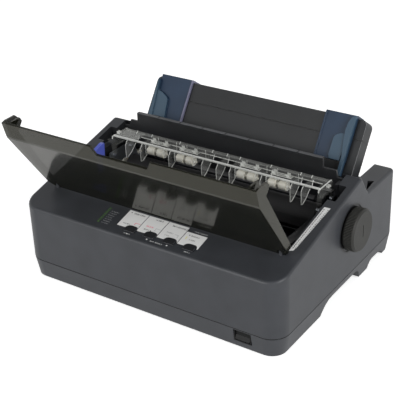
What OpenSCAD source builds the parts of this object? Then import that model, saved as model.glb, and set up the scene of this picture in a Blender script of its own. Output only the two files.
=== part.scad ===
// Dot matrix printer for 80 columns, standing open: cover tipped forward, sheet guide upright.
// Lengths in mm. X right, Y back, Z up. The origin is on the table, under the middle of the case.

/* [Case] */
// Width over the two side walls
body_width = 348; // [330:1:366]
// Depth from the front face to the rear face
body_depth = 275; // [270:1:285]
// Thickness of the moulded case walls
case_wall = 2.6; // [2.2:0.1:3]
// Radius of the two front corners, seen from above
front_corner_radius = 21.6; // [18:0.1:24]
// Radius of the two rear corners, seen from above
rear_corner_radius = 10; // [8:0.5:12]
// Height of the front edge of the control panel
front_height = 96; // [95.5:0.1:96.5]
// Slope of the control panel and of the two side rims
top_slope = 13.2; // [13.1:0.1:13.4]
// Height of the line where the two halves of the case meet
parting_height = 26.8; // [26.6:0.1:28]
// Height of the flat deck behind the rims
rear_deck_height = 112.8; // [112:0.1:114]
// How far the lower case draws in towards its bottom edge
lower_case_draft = 3.9; // [2:0.1:4.5]
// Width of the rims at both sides of the main opening
rim_width = 19; // [18:0.1:20]
// Depth of the control panel, from the front face to the main opening
panel_depth = 43; // [42:0.1:43.5]

/* [Cover] */
// Thickness of the smoked sheet
cover_thickness = 2.5; // [2:0.1:2.8]
// How far the cover's side lips reach over the rims
cover_lap = 7.6; // [7:0.1:8]

/* [Controls] */
// Spacing of the four label cards
card_pitch = 27.2; // [26.8:0.1:27.6]
// Width of a push button
button_width = 14; // [12:0.5:16]

/* [Platen] */
// Diameter of the rubber platen
platen_diameter = 34; // [33:0.5:34]
// Diameter of the paper feed knob
knob_diameter = 50.6; // [44:0.2:54]

/* [Sheet guide] */
// Gap between the tray and each side of the rear opening
tray_gap = 1; // [0.7:0.1:2]
// Width of each edge guide
guide_width = 48; // [44:0.5:50]
// Depth of the tray's side walls
tray_depth = 20; // [18:0.5:20]
// Lean of the upright tray above the horizontal
tray_lean = 55.3; // [54:0.1:56]

/* [Tension unit] */
// Diameter of the paper rollers
roller_diameter = 11; // [9:0.5:11.5]
// Thickness of the clear blades that steer the paper
blade_thickness = 0.9; // [0.7:0.1:1.4]
// Height of the clear lip along the front
lip_height = 1.5; // [1.2:0.1:2.4]

/* [Fits] */
// Radial clearance of pins and shafts that turn
running_clearance = 0.05; // [0.02:0.01:0.08]
// Gap beside parts that slide
sliding_gap = 0.3; // [0.2:0.05:0.4]

/* [Hidden] */
$fn = 96;
hw = body_width / 2;
yf = -137.5;            // front face
yr = yf + body_depth;   // rear face
wall = case_wall;
foot_height = 2.5;
floor_top = foot_height + wall;
rim_inner = hw - rim_width;         // half width of the main opening
deck_inner = rim_inner - 6;         // half width of the rear opening
bay_front = yf + panel_depth;       // rear edge of the control panel
step_y = 48;            // where the main opening narrows to the rear one
peak_y = 43;            // highest point of the rims
cover_half_width = rim_inner + cover_lap;
tray_half_width = deck_inner - tray_gap;
frame_x = rim_inner - 9;            // middle of the frame's side plates
frame_t = 1.6;                      // its sheet steel
frame_in = frame_x - frame_t / 2;
frame_out = frame_x + frame_t / 2;
base_z = 26;            // underside of the frame's base plate
function top_z(y) = front_height + (y - yf) * tan(top_slope);

platen_c = [23, 85.8];
platen_r = platen_diameter / 2;
shaft_r = 4;
tractor_c = [88, rear_deck_height - 32.8];      // square shaft of the tractors
rod_c = [tractor_c[0] - 22, tractor_c[1]];
motor_c = [6, 47];
rail_c = [-30, 64];     // carriage shaft
rail_r = 5;
gear_width = 4.6;
gear_x0 = -rim_inner + 1;           // the gears run between the left frame plate and the rim
gear_x1 = gear_x0 + gear_width;
screw_spots = [for (x = [-1, 1], y = [yf + 21.5, yr - 8.5]) [x * (hw - 18), y]];

// ---------- helpers ----------
// A drawing in (Y, Z) pulled along X
module along_x(x0, x1) { translate([x0, 0, 0]) rotate([90, 0, 90]) linear_extrude(x1 - x0) children(); }
// A drawing in (X, Z) pulled along Y
module along_y(y0, y1) { translate([0, y1, 0]) rotate([90, 0, 0]) linear_extrude(y1 - y0) children(); }
module rod_x(c, r, x0, x1) { translate([x0, c[0], c[1]]) rotate([0, 90, 0]) cylinder(r = r, h = x1 - x0); }
module rod_y(x, z, r, y0, y1) { translate([x, y1, z]) rotate([90, 0, 0]) cylinder(r = r, h = y1 - y0); }
module box(x0, x1, y0, y1, z0, z1) { translate([x0, y0, z0]) cube([x1 - x0, y1 - y0, z1 - z0]); }
module both() { children(); mirror([1, 0, 0]) children(); }
// Rounded rectangle by its edges
module round_rect(x0, x1, y0, y1, r) {
  translate([x0 + r, y0]) square([x1 - x0 - 2 * r, y1 - y0]);
  translate([x0, y0 + r]) square([x1 - x0, y1 - y0 - 2 * r]);
  for (x = [x0 + r, x1 - r], y = [y0 + r, y1 - r]) translate([x, y]) circle(r);
}
// On the sloped control panel: X across, Y up the slope from its front edge, Z out of it
module on_panel() { translate([0, yf, front_height]) rotate([top_slope, 0, 0]) children(); }
function panel_s(y) = (y - yf) / cos(top_slope);
// On the upright tray: X across, Y up the tray, Z out of its front
module on_tray() {
  translate([0, tray_pivot[0] + 3.54, rear_deck_height + 5.2]) rotate([tray_lean, 0, 0]) children();
}

// ---------- gears ----------
gear_m = 1;
pressure = 25;
backlash = 0.35;        // degrees taken off each side of a tooth on a 36-tooth gear
function inv(a) = tan(a) - a * PI / 180;
function half_tooth(n, r) = 90 / n - backlash * 36 / n
  + (inv(pressure) - inv(acos(min(1, n * gear_m / 2 * cos(pressure) / r)))) * 180 / PI;
function tooth(n) = let (rp = n * gear_m / 2, rb = rp * cos(pressure), rf = rp - 1.2 * gear_m,
  r0 = max(rb, rf + 0.01), ra = rp + 0.95 * gear_m, rs = [r0, rp, (rp + ra) / 2, ra])
  concat([[rf, -half_tooth(n, r0)]], [for (r = rs) [r, -half_tooth(n, r)]],
         [for (i = [3:-1:0]) [rs[i], half_tooth(n, rs[i])]], [[rf, half_tooth(n, r0)]]);
module gear_2d(n, phase) {
  t = tooth(n);
  polygon([for (k = [0:n - 1]) for (p = t)
    let (a = p[1] + phase + 360 * k / n) [p[0] * cos(a), p[0] * sin(a)]]);
}
module gear(c, n, phase, bore, x0 = gear_x0, x1 = gear_x1) {
  translate([0, c[0], c[1]]) along_x(x0, x1) difference() { gear_2d(n, phase); circle(bore); }
}
// Centre of a gear that meshes with two others
function meet(a, ra, b, rb, side) =
  let (d = norm(b - a), u = (b - a) / d, k = (ra * ra - rb * rb + d * d) / (2 * d))
  a + k * u + side * sqrt(ra * ra - k * k) * [-u[1], u[0]];
function heading(a, b) = atan2(b[1] - a[1], b[0] - a[0]);
function in_mesh(beta, phase, na, nb) = beta + 180 - (0.5 - (beta - phase) * na / 360) * 360 / nb;
n_platen = 36; n_feed = 35; n_pinion = 12; n_idler = 40; n_tractor = 24;
feed_c = meet(motor_c, (n_pinion + n_feed) / 2, platen_c, (n_platen + n_feed) / 2, 1);
idler_c = meet(platen_c, (n_platen + n_idler) / 2, tractor_c, (n_idler + n_tractor) / 2, -1);
ph_platen = 0;
ph_feed = in_mesh(heading(platen_c, feed_c), ph_platen, n_platen, n_feed);
ph_pinion = in_mesh(heading(feed_c, motor_c), ph_feed, n_feed, n_pinion);
ph_idler = in_mesh(heading(platen_c, idler_c), ph_platen, n_platen, n_idler);
ph_tractor = in_mesh(heading(idler_c, tractor_c), ph_idler, n_idler, n_tractor);

// ---------- case ----------
module footprint(inset) {
  rf = front_corner_radius; rr = rear_corner_radius;
  translate([-hw + rf, yf + inset]) square([2 * (hw - rf), body_depth - 2 * inset]);
  translate([-hw + rr, yf + rf]) square([2 * (hw - rr), body_depth - rf - inset]);
  translate([-hw + inset, yf + rf]) square([2 * (hw - inset), body_depth - rf - rr]);
  for (s = [-1, 1]) {
    translate([s * (hw - rf), yf + rf]) circle(rf - inset);
    translate([s * (hw - rr), yr - rr]) circle(rr - inset);
  }
}
// The footprint drawn in by i0 at z0 and by i1 at z1
module tapered(z0, z1, i0, i1) {
  rf = front_corner_radius; rr = rear_corner_radius; h = z1 - z0;
  for (s = [-1, 1]) {
    translate([s * (hw - rf), yf + rf, z0]) cylinder(h = h, r1 = rf - i0, r2 = rf - i1);
    translate([s * (hw - rr), yr - rr, z0]) cylinder(h = h, r1 = rr - i0, r2 = rr - i1);
  }
  along_x(-hw + rf, hw - rf) polygon([[yf + i0, z0], [0, z0], [0, z1], [yf + i1, z1]]);
  along_x(-hw + rr, hw - rr) polygon([[0, z0], [yr - i0, z0], [yr - i1, z1], [0, z1]]);
  along_y(yf + rf, yr - rr) polygon([[-hw + i0, z0], [hw - i0, z0], [hw - i1, z1], [-hw + i1, z1]]);
}
arch_reach = 36;        // how far the hollows under the side walls reach in
arch_end = yr - 81.5;   // rear end of the longer hollow
// Hollows under the two side walls, where fingers reach in; g makes them larger for the lining
module side_arches(g) {
  both() along_x(hw - arch_reach - g, hw + 1) {
    polygon(concat(
      [[-42 - g, 0], [-37 - g, 8], [-32 - g * 0.8, 13.5 + g * 0.6], [-25 - g * 0.4, 17 + g], [-17, 18 + g]],
      [for (p = [[-16, 18 + g], [-9 + g * 0.4, 16.5 + g], [-4.5 + g * 0.8, 11.5 + g * 0.6],
               [-1 + g, 4], [g, 0]])
        [p[0] + arch_end, p[1]]]));
    translate([yr - 18.5, 0]) polygon([[-42 - g, 0], [-40.5 - g, 6], [-37.5 - g * 0.8, 10.5 + g * 0.6],
             [-33 - g * 0.4, 12.5 + g], [-15 + g * 0.4, 12 + g], [-8 + g * 0.8, 9.5 + g * 0.6],
             [-2 + g, 5.5 + g * 0.3], [g, 0]]);
  }
}
// Round post on the floor of the lower case, up to height z
module post(p, r, z) { translate([p[0], p[1], floor_top - 0.5]) cylinder(r = r, h = z - floor_top + 0.5); }
function lower_inset(z) = lower_case_draft * (parting_height - z) / (parting_height - foot_height);
module lower_case() {
  color("#55565b") {
    difference() {
      union() {
        difference() {
          tapered(foot_height, parting_height, lower_case_draft, 0);
          difference() {
            tapered(floor_top, parting_height + 1, lower_inset(floor_top) + wall,
                    lower_inset(parting_height + 1) + wall);
            side_arches(wall);
          }
        }
        // posts that carry the mechanism frame
        for (x = [-1, 1], y = [-56, 88]) post([x * (frame_x - 21), y], 5, base_z);
        // posts under the main board and under the power supply
        for (x = [supply_x0 + 5, supply_x1 - 6, board_x0 + 6, board_x1 - 6], y = [60, board_y1 - 22])
          post([x, y], 3.5, board_z);
        for (x = [board_x0 + 6, board_x1 - 6]) post([x, board_y0 + 6], 3.5, board_z);
        // bosses for the case screws
        for (p = screw_spots) post(p, 4.5, parting_height);
      }
      side_arches(0);
      // groove along the parting line
      difference() {
        translate([0, 0, parting_height - groove]) linear_extrude(2) footprint(-3);
        translate([0, 0, parting_height - groove - 1]) linear_extrude(4) footprint(groove);
      }
      // window for the power switch
      box(switch_x - switch_half - 0.2, switch_x + switch_half + 0.2, yf - 1, yf + 8,
          rocker_c[1] - 7.5, rocker_c[1] + 7.5);
      // holes for the rear sockets
      for (p = ports) box(p[0] - p[1] / 2 - port_gap, p[0] + p[1] / 2 + port_gap, yr - 9, yr + 1,
                          board_top - port_gap, board_top + p[2] + port_gap);
      // screw holes
      for (p = screw_spots) translate([p[0], p[1], 0]) {
        cylinder(r = screw_r, h = 40);
        cylinder(r = screw_head_r + 0.4, h = screw_seat);
      }
      // air slots in the floor
      for (i = [0:11]) box(-60 + i * 10, -56 + i * 10, -110, -80, 0, 6);
    }
  }
}
groove = 0.9;           // height and depth of the groove where the two halves meet
screw_r = 1.6;
screw_head_r = 3;
screw_seat = foot_height + 6;       // where the heads of the case screws stop
function side_profile(w) = [[yf + w, parting_height - w], [yf + w, top_z(yf + w) - w / cos(top_slope)],
  [peak_y - w * 0.8, top_z(peak_y - w * 0.8) - w / cos(top_slope)],
  [peak_y + 3.5 - w, top_z(peak_y) - 1.4 - w],
  [61.5 - w, rear_deck_height + 3 - w], [65 - w, rear_deck_height - w],
  [yr - 8, rear_deck_height - w], [yr - w, rear_deck_height - 8], [yr - w, parting_height - w]];
module side_shape(w) {
  polygon(side_profile(w));
  translate([yr - 8, rear_deck_height - 8]) circle(8 - w);
}
module shell(w) {
  intersection() {
    translate([0, 0, parting_height - w]) linear_extrude(150) footprint(w);
    along_x(-hw, hw) side_shape(w);
  }
}
rear_gate = rear_deck_height - 24.8;    // top of the rear wall between the decks
pocket_y0 = -1.5;
pocket_y1 = 25;
pocket_floor = top_z(pocket_y1) - 17.1;
pocket_width = 9.8;
module rim_linings() {
  // inner walls of the rims beside the main opening
  box(rim_inner, rim_inner + wall, bay_front - wall, step_y, 60, 200);
  // wall under the rear edge of the control panel
  box(-rim_inner - wall, 0.01, bay_front - wall, bay_front, 62, 200);
  box(0, rim_inner + wall, bay_front - wall, bay_front, 62, 200);
  // short wall that closes the rim's rear end, and the skirt beside the rear opening
  box(deck_inner, rim_inner + wall, step_y - wall, step_y, rear_deck_height - 13.8, 200);
  box(deck_inner, deck_inner + wall, step_y - wall, yr, rear_deck_height - 13.8, 200);
  // pocket that takes the cover's hook
  box(rim_inner, rim_inner + pocket_width + wall, pocket_y0 - wall, pocket_y1 + wall,
      pocket_floor - wall, 200);
}
board_z = 9;            // underside of the main board and of the power supply
board_top = board_z + 1.6;
board_x1 = hw - 56;
board_y0 = -52;
board_y1 = yr - 5.5;
supply_x0 = -hw + 57;
supply_x1 = supply_x0 + 55;
board_x0 = supply_x1 + 4;
// middle, width and height of each rear socket
ports = [[board_x1 - 40, 66, 13.4], [board_x1 - 91, 31, 11], [board_x1 - 122, 12, 11]];
port_gap = 0.4;
switch_x = hw - 46.2;
switch_half = 10.8;
inlet_x = -hw + 48;
inlet_z = 45;
hinge_c = [bay_front + 1.45, top_z(bay_front) + 4.71];  // axis of the cover
post_x0 = rim_inner - 5.4;
post_x1 = rim_inner - 1.6;
pin_r = 1.8;            // cover's hinge pins
tray_pin_r = 3;
tray_pivot = [64.76, rear_deck_height - 6.94];
module upper_case() {
  color("#4d4e53") {
    difference() {
      union() {
        difference() { shell(0); shell(wall); }
        intersection() { shell(0); both() rim_linings(); }
        // bosses over the case screws, reaching down to the lower bosses
        intersection() {
          shell(0);
          for (p = screw_spots) translate([p[0], p[1], parting_height]) cylinder(r = 4.5, h = 90);
        }
        // sleeve round the knob's shaft
        rod_x(platen_c, 9, rim_inner, hw - 0.5);
        // hinge posts for the cover
        both() {
          rod_x(hinge_c, 4, post_x0, post_x1);
          along_x(post_x0, post_x1) translate(hinge_c)
            polygon([[-4, 0], [-4.05, -12.8], [-1.45, -12.8], [4, -3.8], [4, 0]]);
        }
        // posts that hold the control board under the panel
        on_panel() for (x = [-76, 71], s = [10, 34]) translate([x, s, -12.4]) cylinder(r = 2.5, h = 11);
      }
      // main opening and rear opening
      box(-rim_inner, rim_inner, bay_front, step_y - wall, 60, 200);
      box(-deck_inner, deck_inner, step_y - 10, yr - wall, rear_gate - 20, 200);
      box(-deck_inner, deck_inner, yr - 5, yr + 1, rear_gate, 200);
      both() {
        // pocket for the hook
        box(rim_inner - 1, rim_inner + pocket_width, pocket_y0, pocket_y1, pocket_floor, 200);
        // bore of the hinge post
        rod_x(hinge_c, pin_r + running_clearance, post_x0 - 1, post_x1 + 1);
        // bearing of the tray's pivot
        rod_x(tray_pivot, tray_pin_r + running_clearance, deck_inner - 1, deck_inner + wall + 1);
        // wedge-shaped notch through the rear deck
        translate([hw, 0, rear_deck_height - 5]) linear_extrude(8)
          polygon([[-4, 65.5], [-13, 87.5], [-6.4, 91]]);
      }
      // knob shaft hole, and the dished seat behind the knob
      rod_x(platen_c, 6.5, rim_inner - 1, hw + 1);
      rod_x(platen_c, knob_diameter / 2 + 2.6, hw - 1.1, hw + 1);
      // seats for the label cards
      on_panel() for (i = [0:3]) translate([0, 0, -0.5]) linear_extrude(3) card_2d(i, 0.15);
      // button holes
      on_panel() for (i = [0:3]) translate([button_x(i), 0, -8]) linear_extrude(12) button_2d(sliding_gap);
      // holes for the light pipes
      on_panel() for (i = [0:7]) translate([light_x - 1.65, light_s(i) - 0.85, -6]) cube([3.3, 1.7, 10]);
      // window for the power inlet
      box(inlet_x - inlet_half - 0.1, inlet_x + inlet_half + 0.1, yr - 4, yr + 1,
          inlet_z - 10.4, inlet_z + 10.4);
      // air slots in the rear wall
      for (i = [0:9]) box(10 + i * 9, 14 + i * 9, yr - 4, yr + 1, 40, 70);
    }
  }
}
inlet_half = 13.8;

// ---------- control panel ----------
function button_x(i) = [-23, 3.4, 29.5, 55.5][i];
light_x = -67;
function light_s(i) = 11.4 + i * 3.35;
module button_2d(g) {
  w = button_width / 2 + g; r = 4.4 + g;
  translate([-w, 9.4 - g]) square([2 * w, 4.9 + g]);
  translate([-w + r, 9.4 - g]) square([2 * (w - r), 9.2 + 2 * g]);
  for (s = [-1, 1]) translate([s * (w - r), 18.6 + g - r]) circle(r);
}
module card_2d(i, g) {
  x0 = -42.9 + i * card_pitch;
  difference() {
    translate([x0 - g, 14.9 - g]) square([card_pitch - 0.9 + 2 * g, (i == 3 ? 20.5 : 26.5) + 2 * g]);
    translate([button_x(i), 0]) button_2d(1.4 - g);
  }
}
// four cards in the panel and the strip on the right rim
module panel_cards() {
  color("#d4d6d7") on_panel() {
    for (i = [0:3]) translate([0, 0, -0.5]) linear_extrude(0.6) card_2d(i, 0);
    translate([rim_inner, 0]) linear_extrude(0.15) polygon([[1, panel_s(-88)], [5.2, panel_s(-85.5)],
      [6.2, panel_s(-80)], [10.4, panel_s(-13.5)], [3, panel_s(-13.8)]]);
  }
}
module button(i) {
  color("#202125") on_panel() translate([button_x(i), 0, 0]) {
    translate([0, 0, -3.4]) linear_extrude(4.5) button_2d(0);
    translate([-button_width / 2 - 1.2, 8.2, -3.7]) cube([button_width + 2.4, 11.6, 0.8]);
    translate([0, 13.6, -8.4]) cylinder(r = 1.6, h = 5, $fn = 32);
  }
}
module button_one() { button(0); }
module button_two() { button(1); }
module button_three() { button(2); }
module button_four() { button(3); }
module indicator_lights() {
  color("#6f8f5a") on_panel() for (i = [0:7])
    translate([light_x - 1.6, light_s(i) - 0.8, -12.4]) cube([3.2, 1.6, 12.5]);
}
module control_board() {
  color("#2f6b3a") on_panel() {
    translate([-80, 6, -14]) cube([155, 32, 1.6]);
    for (i = [0:3]) {
      translate([button_x(i) - 3, 10.6, -12.6]) cube([6, 6, 2.4]);
      translate([button_x(i), 13.6, -10.3]) cylinder(r = 1.5, h = 0.8, $fn = 32);
    }
    for (x = [-40, -30, 58]) translate([x, 24, -12.6]) cube([6, 9, 1.6]);
  }
}

// ---------- power switch ----------
rocker_c = [yf + 6.6, 17.5];
rocker_pin_r = 1.2;
module switch_housing() {
  z = rocker_c[1];
  color("#1b1c1f") difference() {
    box(switch_x - switch_half, switch_x + switch_half, yf + 1.8, yf + 19, z - 7.3, z + 7.3);
    box(switch_x - switch_half + 1.4, switch_x + switch_half - 1.4, yf + 1, yf + 13.4, z - 6.1, z + 6.1);
    rod_x(rocker_c, rocker_pin_r + running_clearance, switch_x - 11, switch_x + 11);
  }
}
// The rocker's two faces form a shallow V; the lower one stands out while the power is off
module power_rocker() {
  color("#121316") {
    along_x(switch_x - switch_half + 1.8, switch_x + switch_half - 1.8) translate(rocker_c) {
      circle(3.2);
      polygon([[-5.6, -4.7], [-3.2, 0.1], [-3.3, 5.2], [-0.2, 5.2], [1.4, -4.9]]);
    }
    rod_x(rocker_c, rocker_pin_r, switch_x - switch_half + 0.1, switch_x + switch_half - 0.1);
  }
}

// ---------- small case parts ----------
foot_spots = [[hw - 24, yf + 22.5], [hw - 16, arch_end + 10], [hw - 16, yr - 11.5]];
module rubber_feet() {
  color("#1a1a1b") both() for (p = foot_spots) translate([p[0], p[1], 0]) cylinder(r = 7.5, h = foot_height);
}
module case_screws() {
  color("#8d9095") for (p = screw_spots) translate([p[0], p[1], screw_seat]) {
    translate([0, 0, -2.7]) cylinder(r = screw_head_r, h = 2.7);
    translate([0, 0, -0.1]) cylinder(r = screw_r - 0.05, h = parting_height - screw_seat + 0.1);
  }
}

// ---------- cover ----------
// Drawn lying in its own frame: X across, Y from the hinged edge to the free edge, Z towards the inside
cover_lean = 35.3;      // forward of the vertical when open
module on_cover() {
  translate([0, bay_front - 2.5, top_z(bay_front) + 1.91])
    rotate([90 + cover_lean, 0, 0]) mirror([0, 0, 1]) children();
}
cover_pin = [0, 4.84];
knuckle_x0 = post_x1 + 0.2;
knuckle_x1 = knuckle_x0 + 3.8;
module cover_outline(g) {
  round_rect(-cover_half_width + g, cover_half_width - g, -2 + g, 60, 12 - g);
  translate([-cover_half_width + g, 30]) square([2 * (cover_half_width - g), 95]);
}
// side view of the outer skin with its lips, as (along, depth)
module cover_body_profile() {
  polygon([[-2, 0], [101.5, 0], [104.5, 0.5], [122.2, 6.9], [120.6, 12], [112.5, 24],
    [107, 25], [103.5, 22.6],
           [101.6, 14.4], [11.65, 9], [-2, 8]]);
}
module cover_hollow_profile() {
  t = cover_thickness;
  polygon([[-5, t], [101, t], [103.7, t + 0.4], [130, t + 9.7], [130, 40], [-5, 40]]);
}
module printer_cover() {
  color("#4a4c49", 0.55) on_cover() {
    difference() {
      intersection() {
        along_x(-cover_half_width, cover_half_width) cover_body_profile();
        linear_extrude(60) cover_outline(0);
      }
      intersection() {
        along_x(-cover_half_width, cover_half_width) cover_hollow_profile();
        translate([0, 0, -1]) linear_extrude(60) cover_outline(2.5);
      }
      // finger notch in the free edge
      translate([0, 0, -5]) linear_extrude(40) polygon([[-33, 112.5], [33, 112.5], [40, 125], [-40, 125]]);
      // room for the hinge posts
      both() box(post_x0 - 0.8, knuckle_x0, -5, 7, -1, 20);
    }
    both() {
      // knuckle and pin
      difference() {
        rod_x(cover_pin, 3.9, knuckle_x0, knuckle_x1);
        box(knuckle_x0 - 1, knuckle_x1 + 1, -6, 8, -2, 0);
      }
      along_x(knuckle_x0, knuckle_x1) polygon([[-1.8, 0.4], [9, 0.4], [9, 5], [1, 8.6], [-1.8, 7]]);
      rod_x(cover_pin, pin_r, post_x0 + 0.3, knuckle_x0 + 0.4);
      // inner hook beside the lip
      along_x(rim_inner - 3.6, rim_inner - 1)
        polygon([[103.5, 2.2], [121, 8.5], [119.8, 12.5], [113.5, 22.5], [108, 22], [104.6, 12]]);
    }
  }
}

// ---------- sheet guide ----------
tray_top = 72;          // top and bottom edge of the tray's panel, up the slope
tray_low = -14;
tray_wall = 2.5;
tray_rail = tray_depth - 6;         // depth of the top wall that the guides slide on
module sheet_guide() {
  w = tray_half_width;
  color("#34373b") {
    on_tray() {
      difference() {
        union() {
          // panel with rounded upper corners
          translate([0, 0, -2.5]) linear_extrude(2.5) {
            translate([-w, tray_low]) square([2 * w, 76]);
            round_rect(-w, w, 40, tray_top, 7);
          }
          // side walls, and the wall along the top, lower between the corners
          both() box(w - tray_wall, w, tray_low, 65, -tray_depth, -1);
          difference() {
            translate([0, 0, -tray_depth]) linear_extrude(tray_depth) difference() {
              round_rect(-w, w, 40, tray_top, 7);
              round_rect(-w + tray_wall, w - tray_wall, 30, tray_top - tray_wall, 4.5);
            }
            box(-w + 6.5, w - 6.5, 20, tray_top + 1, -tray_depth - 1, -tray_rail);
          }
          // ribs behind the panel
          for (x = [-3, -1, 1, 3]) box(x * w / 5 - 1, x * w / 5 + 1, 24, tray_top - 1, -10, -1);
        }
        // shallow groove across the panel
        box(-w - 1, w + 1, 47.2, 48.4, -0.7, 1);
        // the side walls are cut away below, clear of the case when the tray folds back
        both() along_x(w - tray_wall - 1, w + 1)
          polygon([[tray_low - 1, -14], [tray_low, -14], [tray_low + 8, -tray_depth],
            [tray_low + 8, -tray_depth - 1],
                   [tray_low - 1, -tray_depth - 1]]);
      }
    }
    both() rod_x(tray_pivot, tray_pin_r, tray_half_width - 1, deck_inner + wall - 0.2);
  }
}
// A guide is a channel hooked over the tray's top edge
module guide_channel(x0, x1) {
  g = sliding_gap;
  on_tray() {
    box(x0, x1, 19, tray_top + g + 2.4, g, g + 1.8);
    box(x0, x1, tray_top + g, tray_top + g + 2.4, -tray_rail - g - 2, g + 1);
    box(x0, x1, 60, tray_top + g + 2, -tray_rail - g - 2, -tray_rail - g);
    // rib along the inner edge
    box(x0 + (x1 > 0 ? 0 : x1 - x0 - 2), x1 - (x1 > 0 ? x1 - x0 - 2 : 0), 19, tray_top + g + 2, g + 1, g + 3);
  }
}
// Raised shape on the front of a guide
module on_guide(h) { on_tray() translate([0, 0, sliding_gap + 1]) linear_extrude(h) children(); }
module edge_guide_left() {
  x = guide_left_x;
  color("#3d4a5f") {
    guide_channel(x, x + guide_width);
    // thumb pad, and the taller wing that stops the edge of the paper
    on_guide(4.6) translate([x, 0])
      polygon([[2, 20], [23.3, 20], [20.1, 44], [17.5, 46.8], [9.8, 51], [2, 53.3]]);
    on_guide(6.8) translate([x, 0])
      polygon([[0, 6], [5, 6], [5.3, 21], [2.4, 53], [1, 64], [0, 68]]);
  }
}
module edge_guide_right() {
  x = guide_right_x;
  color("#3d4a5f") {
    guide_channel(x - guide_width + 7, x);
    on_guide(4.6) translate([x, 0])
      polygon([[-21.5, 23], [-19.5, 19], [-6, 19], [-6, 51], [-13, 50.8], [-19.5, 47.5], [-21.3, 44]]);
    on_guide(6.8) translate([x, 0])
      polygon([[0, 2], [-4, 2], [-4.2, 24], [-7, 41], [-8.8, 55], [-7.8, 64],
        [-5.6, 70], [-3, 72.5], [0, 73.4]]);
  }
}
guide_left_x = -tray_half_width + 6.6;  // outer ends of the guides
guide_right_x = tray_half_width - 11.6;

// ---------- paper divider and pan ----------
divider_y = 40;
divider_x0 = 12.5 - frame_x;
divider_x1 = frame_x - 18.5;
lip_pitch = (divider_x1 - divider_x0) / 8;
module paper_divider() {
  color("#2b2c2f") {
    along_y(divider_y, divider_y + 2.5) polygon([[divider_x0, 104], [divider_x1, 104], [divider_x1, 118],
      [rim_inner, 118], [rim_inner, 134], [frame_x, 134], [frame_x - 2, 142.5],
      [divider_x1, 142.5], [divider_x1, 152],
      [divider_x0, 152], [divider_x0, 142.5], [2 - frame_x, 142.5], [-frame_x, 134], [-rim_inner, 134],
      [-rim_inner, 118], [divider_x0, 118]]);
    // top lip in eight lengths
    for (i = [0:7]) translate([divider_x0 + i * lip_pitch, 0, 0])
      box(0.4, lip_pitch - 0.4, divider_y - 0.4, divider_y + 4, 151.5, 154);
  }
}
pan_z = tractor_c[1] - 14.4;
module paper_pan() {
  color("#26272a") {
    // trough under the platen
    intersection() {
      difference() {
        rod_x(platen_c, platen_r + 3.6, -frame_in, frame_in);
        rod_x(platen_c, platen_r + 2, -frame_in - 1, frame_in + 1);
      }
      along_x(-frame_in - 1, frame_in + 1) translate(platen_c)
        polygon([[0, 0], [-30, -22], [-30, -60], [40, -60], [40, -5]]);
    }
    // floor of the paper path under the tractors
    along_x(-frame_in, frame_in)
      polygon([[41.8, 81], [44.4, 79.6], [50.4, pan_z],
        [yr - wall - 0.1, pan_z], [yr - wall - 0.1, pan_z - 2],
               [49, pan_z - 2], [41.4, 77.6]]);
  }
}

// ---------- frame ----------
module frame_side() {
  difference() {
    along_x(frame_in, frame_out) polygon([[-80, base_z], [104, base_z], [104, tractor_c[1] + 8],
      [52, tractor_c[1] + 8], [46, 104], [42, 113],
      [-4, 113], [-10, 96], [-16, 82], [-44, 78], [-46, 84], [-80, 84]]);
    rod_x(platen_c, 8, frame_in - 1, frame_out + 1);
    rod_x(tractor_c, tractor_shaft_r + running_clearance, frame_in - 1, frame_out + 1);
    rod_x([20, 45], 6, frame_in - 1, frame_out + 1);
  }
  // tab under the ribbon cartridge
  box(frame_in - 6, frame_out, -76, -52, cartridge_z - frame_t, cartridge_z);
  // pegs for the tension unit
  for (y = peg_y) rod_x([y, peg_z], peg_r, frame_in - 5.2, frame_in + 0.5);
}
stub_r = 2.5;           // stub axles of the idler gears and the idler pulley
lever_pin_r = 3;
peg_y = [2.5, 35];
peg_z = 109;
peg_r = 2.4;
module mechanism_frame() {
  color("#9a9da1") {
    difference() {
      both() frame_side();
      // hole for the feed motor's shaft in the left plate
      rod_x(motor_c, 4, -frame_out - 1, -frame_in + 1);
    }
    difference() {
      box(-frame_out, frame_out, -80, 104, base_z, base_z + frame_t);
      for (x = [-100, 0, 70]) box(x, x + 24, -36, 40, base_z - 1, base_z + 3);
    }
    // brackets for the belt pulleys
    difference() {
      union() {
        both() box(pulley_x - 22, frame_in, -54.4 - frame_t, -54.4, base_z + 1, 58);
      }
      rod_y(-pulley_x, pulley_z, 4, -60, -50);
    }
    // stub axles for the gears and the levers
    rod_x(feed_c, stub_r, gear_x0 - 0.4, -frame_x);
    rod_x(idler_c, stub_r, gear_x0 - 0.4, -frame_x);
    rod_x(thick_c, lever_pin_r, -frame_out - 2.2, -frame_x);
    rod_x(release_c, lever_pin_r, frame_x, frame_out + 2.2);
    rod_y(pulley_x, pulley_z, stub_r, -56, -44.6);
    // cross bar that stiffens the two side plates
    box(-frame_in, frame_in, 98, 99.6, base_z + 1, 60);
  }
}
module platen_bearings() {
  color("#d9d6c8") both() difference() {
    union() {
      rod_x(platen_c, 8, frame_in, frame_out + 0.6);
      rod_x(platen_c, 10, frame_in - 1.2, frame_in);
    }
    rod_x(platen_c, shaft_r + running_clearance, frame_in - 3, frame_out + 3);
  }
}

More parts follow.
